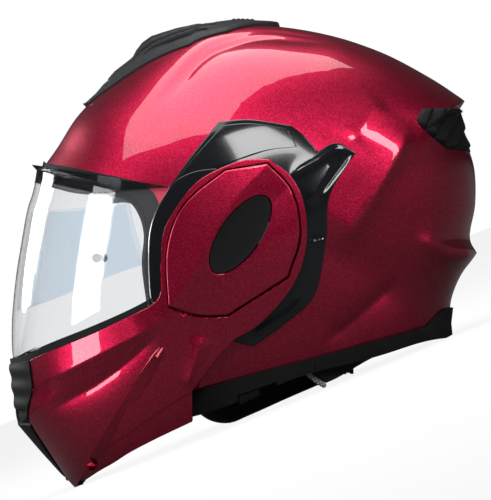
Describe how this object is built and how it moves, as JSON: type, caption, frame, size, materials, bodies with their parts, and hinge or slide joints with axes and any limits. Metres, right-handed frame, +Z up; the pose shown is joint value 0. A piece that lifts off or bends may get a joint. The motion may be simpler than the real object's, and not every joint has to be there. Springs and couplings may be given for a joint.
{
  "type": "modular motorcycle helmet",
  "caption": "Modular motorcycle helmet with a flip-up chin bar, clear visor, inner sun visor, vents, foam liner, pads and a buckled chin strap.",
  "frame": {"origin": "centre of the bounding box's base: the level surface the helmet stands on with its chin and rear rim", "axes": "+Z up, -X towards the face, +X towards the back, -Y towards the wearer's left; the worn helmet is tipped back by 22 degrees in this standing attitude"},
  "size_m": [0.3748, 0.26, 0.2721],
  "materials": {
    "red_paint": "metallic candy paint under clear coat",
    "gloss_black": "gloss",
    "matte_black": "matte",
    "dark_grey": "satin",
    "clear_lens": "clear, hard coated",
    "smoke_lens": "dark smoke",
    "soft_trim": "matte",
    "foam": "moulded bead foam",
    "pad_fabric": "ribbed knit",
    "piping": "smooth piping",
    "webbing": "woven webbing",
    "steel": "zinc plated"
  },
  "bodies": {
    "helmet": {"main_shell": "red_paint", "rear_exhaust_vent": "matte_black", "crown_vent": "dark_grey", "side_plate_left": "gloss_black", "side_plate_right": "gloss_black", "side_panel_left": "gloss_black", "side_panel_right": "gloss_black", "eyeport_seal": "soft_trim", "pivot_bolt_left": "steel", "pivot_bolt_right": "steel", "pivot_nuts": "steel", "detent_rings": "matte_black", "wave_washers": "steel", "foam_liner": "foam", "crown_pad": "pad_fabric", "sun_visor_pivots": "steel", "rim_trim_left": "soft_trim", "rim_trim_right": "soft_trim", "rim_trim_rear": "soft_trim", "cheek_pad_left": "pad_fabric", "cheek_pad_right": "pad_fabric", "neck_roll": "pad_fabric", "neck_piping": "piping", "chin_strap_left": "webbing", "chin_strap_right": "webbing", "strap_rivets": "steel", "buckle_receiver": "matte_black", "buckle_tongue": "matte_black", "buckle_pin": "steel", "striker_pins": "steel"},
    "visor": {"visor": "clear_lens", "visor_arm_left": "gloss_black", "visor_arm_right": "gloss_black", "visor_peak": "smoke_lens", "insert_lens": "clear_lens", "insert_pins": "matte_black"},
    "chin_bar": {"chin_bar_shell": "red_paint", "chin_vent_housing": "matte_black", "chin_bar_gasket": "soft_trim", "chin_foam": "foam", "pod_cover_left": "red_paint", "pod_cover_right": "red_paint", "pod_insert_left": "matte_black", "pod_insert_right": "matte_black", "hook_pins": "steel"},
    "crown_slider": {"crown_vent_slider": "dark_grey"},
    "chin_shutter": {"chin_vent_shutter": "matte_black"},
    "hook_left": {"latch_hook_left": "steel"},
    "hook_right": {"latch_hook_right": "steel"},
    "inner_visor": {"sun_visor": "smoke_lens"},
    "inner_visor_lever": {"sun_visor_lever": "matte_black"},
    "buckle_release": {"buckle_tab": "matte_black"}
  },
  "joints": [
    {"name": "chin_bar_flip", "type": "hinge", "parent": "helmet", "child": "chin_bar", "pos_m": [0.0179, 0, 0.1191], "axis": [0, 1, 0], "range_deg": [0, 180]},
    {"name": "visor_lift", "type": "hinge", "parent": "helmet", "child": "visor", "pos_m": [0.0179, 0, 0.1191], "axis": [0, 1, 0], "range_deg": [0, 40]},
    {"name": "inner_visor_drop", "type": "hinge", "parent": "helmet", "child": "inner_visor", "pos_m": [0.0179, 0, 0.1191], "axis": [0, -1, 0], "range_deg": [0, 34]},
    {"name": "inner_visor_lever_slide", "type": "slide", "parent": "helmet", "child": "inner_visor_lever", "axis": [0.999, 0, -0.0449], "range_m": [0, 0.011]},
    {"name": "crown_vent_slide", "type": "slide", "parent": "helmet", "child": "crown_slider", "axis": [0.9511, 0, -0.309], "range_m": [0, 0.007]},
    {"name": "chin_vent_slide", "type": "slide", "parent": "chin_bar", "child": "chin_shutter", "axis": [-0.2309, 0, -0.973], "range_m": [0, 0.009]},
    {"name": "latch_left", "type": "hinge", "parent": "chin_bar", "child": "hook_left", "pos_m": [-0.07137, -0.1015, 0.05325], "axis": [0, -1, 0], "range_deg": [0, 12], "stiffness_Nm_per_rad": 0.3},
    {"name": "latch_right", "type": "hinge", "parent": "chin_bar", "child": "hook_right", "pos_m": [-0.07137, 0.1015, 0.05325], "axis": [0, -1, 0], "range_deg": [0, 12], "stiffness_Nm_per_rad": 0.3},
    {"name": "buckle_release_tab", "type": "hinge", "parent": "helmet", "child": "buckle_release", "pos_m": [0.03289, -0.016, 0.0067], "axis": [-0.9272, 0, 0.3746], "range_deg": [0, 25], "stiffness_Nm_per_rad": 0.05}
  ],
  "couplings": [
    {"joint": "inner_visor_lever_slide", "follows": "inner_visor_drop", "m_per_rad": 0.01853},
    {"joint": "latch_right", "follows": "latch_left", "ratio": 1}
  ]
}
